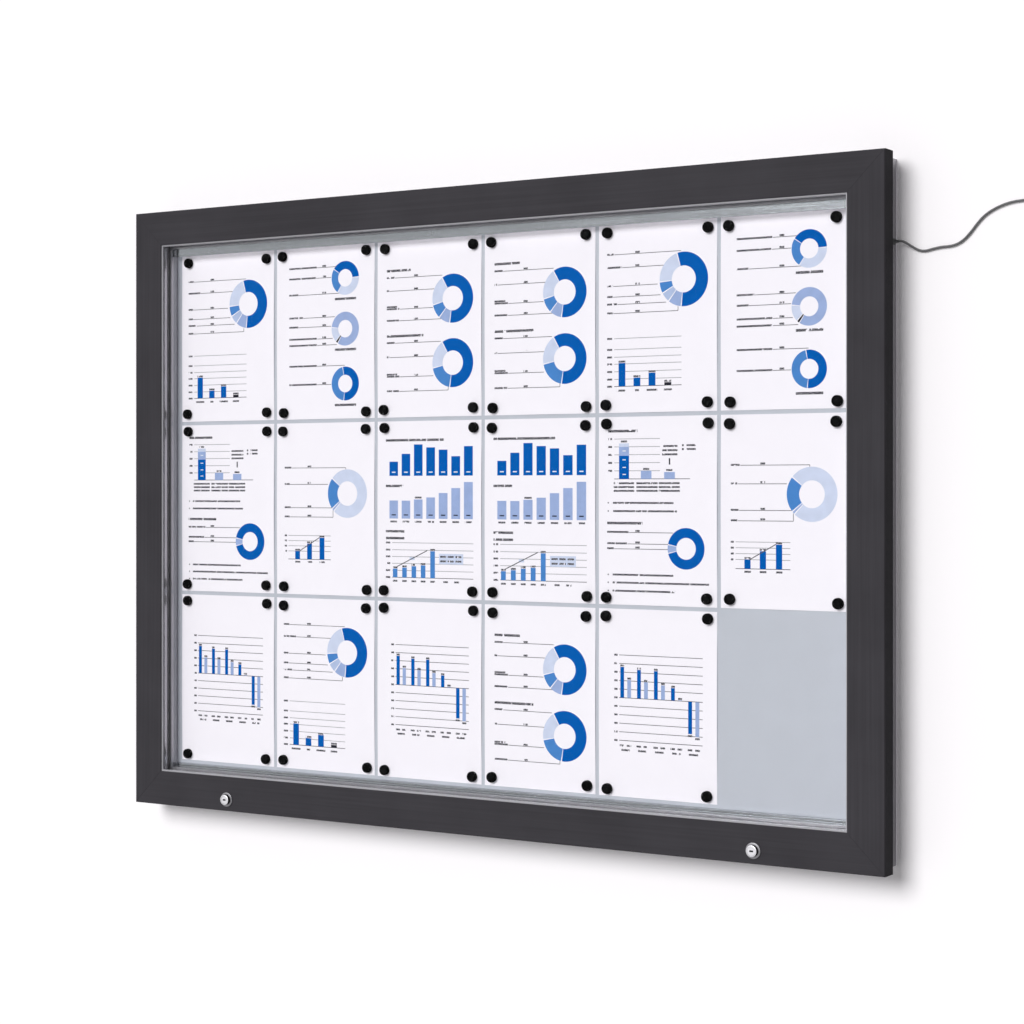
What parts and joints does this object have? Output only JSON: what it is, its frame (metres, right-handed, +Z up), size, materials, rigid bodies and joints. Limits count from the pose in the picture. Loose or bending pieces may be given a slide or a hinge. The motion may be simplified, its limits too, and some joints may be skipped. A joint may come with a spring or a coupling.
{
  "type": "lockable notice board",
  "caption": "Wall-hung, lit and lockable notice board: top-hinged glazed door on gas struts with cam locks, over a shallow case whose magnetic back holds A4 sheets.",
  "frame": {"origin": "middle of the flat back, in the plane of the wall it hangs on", "axes": "+X to the viewer's right, +Y into the wall, +Z up; the glazed door faces -Y"},
  "size_m": [1.7208, 0.0715, 1.061],
  "materials": {
    "anthracite": "satin anthracite powder coat on aluminium",
    "silver": "satin natural anodised",
    "zinc": "bright zinc plate",
    "chrome": "polished chrome",
    "rubber": "matt black",
    "clear": "clear flat safety glass",
    "enamel": "pale blue-grey gloss enamel",
    "paper": "white printed card with black magnets",
    "opal": "opal white",
    "paint": "black lacquer",
    "vinyl": "grey flexible sheath"
  },
  "bodies": {
    "case": {"case_top_rail": "silver", "case_bottom_rail": "silver", "case_left_stile": "silver", "case_right_stile": "silver", "back_sheet": "silver", "magnetic_board": "enamel", "light_bar_housing": "silver", "light_bar_diffuser": "opal", "led_strip": "opal", "bottom_cover_strip": "silver", "hinge_case_leaf": "zinc", "hinge_pin": "zinc", "gas_strut_left_case_bracket": "zinc", "gas_strut_right_case_bracket": "zinc", "cable_grommet": "rubber", "cord_run": "vinyl", "cord_coil": "vinyl", "cord_plug": "rubber", "sheet_row1_column1": "paper", "sheet_row1_column2": "paper", "sheet_row1_column3": "paper", "sheet_row1_column4": "paper", "sheet_row1_column5": "paper", "sheet_row1_column6": "paper", "sheet_row2_column1": "paper", "sheet_row2_column2": "paper", "sheet_row2_column3": "paper", "sheet_row2_column4": "paper", "sheet_row2_column5": "paper", "sheet_row2_column6": "paper", "sheet_row3_column1": "paper", "sheet_row3_column2": "paper", "sheet_row3_column3": "paper", "sheet_row3_column4": "paper", "sheet_row3_column5": "paper"},
    "door": {"door_top_rail": "anthracite", "door_bottom_rail": "anthracite", "door_left_stile": "anthracite", "door_right_stile": "anthracite", "door_corner_key_bottom_left": "zinc", "door_corner_key_bottom_right": "zinc", "door_corner_key_top_right": "zinc", "door_corner_key_top_left": "zinc", "glazing_bead": "silver", "door_pane": "clear", "pane_retainer": "silver", "door_seal": "rubber", "hinge_door_leaf": "zinc", "lock_left_body": "chrome", "lock_right_body": "chrome", "gas_strut_left_door_bracket": "zinc", "gas_strut_right_door_bracket": "zinc"},
    "lock_left": {"lock_left_rotor": "chrome", "lock_left_cam": "zinc"},
    "lock_right": {"lock_right_rotor": "chrome", "lock_right_cam": "zinc"},
    "strut_left_rod": {"gas_strut_left_rod": "chrome"},
    "strut_left_cylinder": {"gas_strut_left_cylinder": "paint"},
    "strut_right_rod": {"gas_strut_right_rod": "chrome"},
    "strut_right_cylinder": {"gas_strut_right_cylinder": "paint"}
  },
  "joints": [
    {"name": "door_lift", "type": "hinge", "parent": "case", "child": "door", "pos_m": [0, -0.0309, 0.5255], "axis": [-1, 0, 0], "range_deg": [0, 80]},
    {"name": "lock_left_turn", "type": "hinge", "parent": "door", "child": "lock_left", "pos_m": [-0.5105, -0.05, -0.51], "axis": [0, -1, 0], "range_deg": [0, 90]},
    {"name": "lock_right_turn", "type": "hinge", "parent": "door", "child": "lock_right", "pos_m": [0.5105, -0.05, -0.51], "axis": [0, -1, 0], "range_deg": [0, 90]},
    {"name": "strut_left_swing", "type": "hinge", "parent": "case", "child": "strut_left_rod", "pos_m": [-0.6895, -0.02, 0.0455], "axis": [1, 0, 0], "range_deg": [0, 19.5]},
    {"name": "strut_left_stroke", "type": "slide", "parent": "strut_left_rod", "child": "strut_left_cylinder", "axis": [0, 0, 1], "range_m": [0, 0.1402]},
    {"name": "strut_right_swing", "type": "hinge", "parent": "case", "child": "strut_right_rod", "pos_m": [0.6895, -0.02, 0.0455], "axis": [1, 0, 0], "range_deg": [0, 19.5]},
    {"name": "strut_right_stroke", "type": "slide", "parent": "strut_right_rod", "child": "strut_right_cylinder", "axis": [0, 0, 1], "range_m": [0, 0.1402]}
  ],
  "couplings": [
    {"joint": "strut_left_swing", "follows": "door_lift", "ratio": 0.24343},
    {"joint": "strut_left_stroke", "follows": "door_lift", "m_per_rad": 0.10035},
    {"joint": "strut_right_swing", "follows": "door_lift", "ratio": 0.24343},
    {"joint": "strut_right_stroke", "follows": "door_lift", "m_per_rad": 0.10035}
  ]
}
